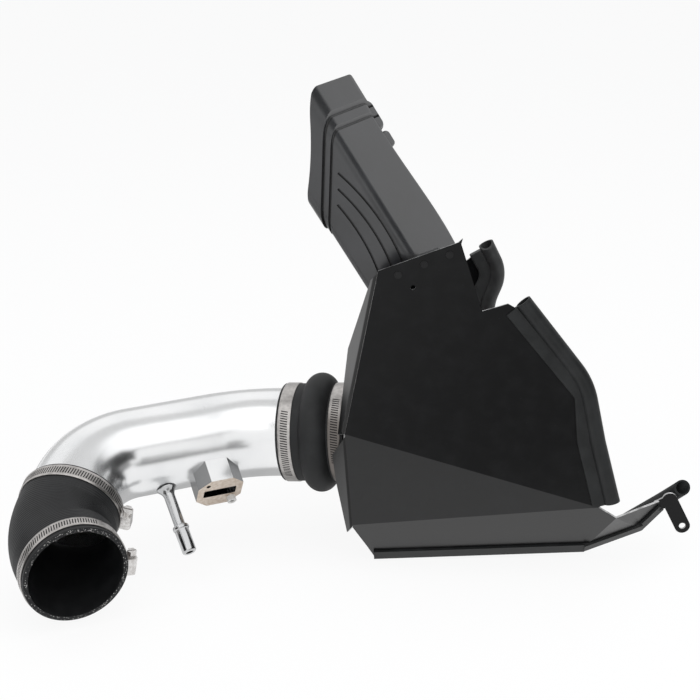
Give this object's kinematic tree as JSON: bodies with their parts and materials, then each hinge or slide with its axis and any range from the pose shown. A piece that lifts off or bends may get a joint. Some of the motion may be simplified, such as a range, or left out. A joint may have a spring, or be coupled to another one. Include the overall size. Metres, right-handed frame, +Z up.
{
  "type": "cold air intake assembly",
  "caption": "Engine air intake: polished bent tube between a rubber elbow and a hump hose, with a folded black heat shield, edge seals, a pleated cone filter and a slanted air scoop.",
  "frame": {"origin": "middle of the bounding box, on the surface it stands on", "axes": "+X along the intake from the throttle elbow to the shield's arm, +Y away from the front panel's face, +Z up"},
  "size_m": [0.6608, 0.2984, 0.4751],
  "materials": {
    "polished_aluminium": "mirror polished",
    "machined_aluminium": "machined",
    "white_nylon": "plain",
    "silicone_hose": "satin, wrapped",
    "rubber_hose": "matt",
    "black_coated_steel": "semi-gloss powder coat",
    "black_seal_rubber": "satin",
    "black_moulded_plastic": "satin",
    "black_rivet": "matt black",
    "clamp_steel": "bright rolled",
    "filter_gauze": "oiled cotton gauze in pleats"
  },
  "bodies": {
    "root": {"adapter_screws": "clamp_steel", "air_scoop": "black_moulded_plastic", "elbow_throttle_clamp_band": "clamp_steel", "elbow_throttle_clamp_housing": "clamp_steel", "elbow_throttle_clamp_screw": "clamp_steel", "elbow_tube_clamp_band": "clamp_steel", "elbow_tube_clamp_housing": "clamp_steel", "elbow_tube_clamp_screw": "clamp_steel", "filter_adapter": "machined_aluminium", "filter_base": "rubber_hose", "filter_cap": "rubber_hose", "filter_clamp_band": "clamp_steel", "filter_clamp_housing": "clamp_steel", "filter_clamp_screw": "clamp_steel", "filter_media": "filter_gauze", "front_panel": "black_coated_steel", "hump_adapter_clamp_band": "clamp_steel", "hump_adapter_clamp_housing": "clamp_steel", "hump_adapter_clamp_screw": "clamp_steel", "hump_coupler": "rubber_hose", "hump_tube_clamp_band": "clamp_steel", "hump_tube_clamp_housing": "clamp_steel", "hump_tube_clamp_screw": "clamp_steel", "intake_tube": "polished_aluminium", "maf_mount": "machined_aluminium", "maf_spacer": "white_nylon", "rear_panel": "black_coated_steel", "rear_seal": "black_seal_rubber", "right_seal": "black_seal_rubber", "rim_seal": "black_seal_rubber", "scoop_rivets": "black_rivet", "side_panel": "black_coated_steel", "side_return": "black_coated_steel", "throttle_elbow": "silicone_hose", "vent_nipple": "polished_aluminium"}
  },
  "joints": []
}
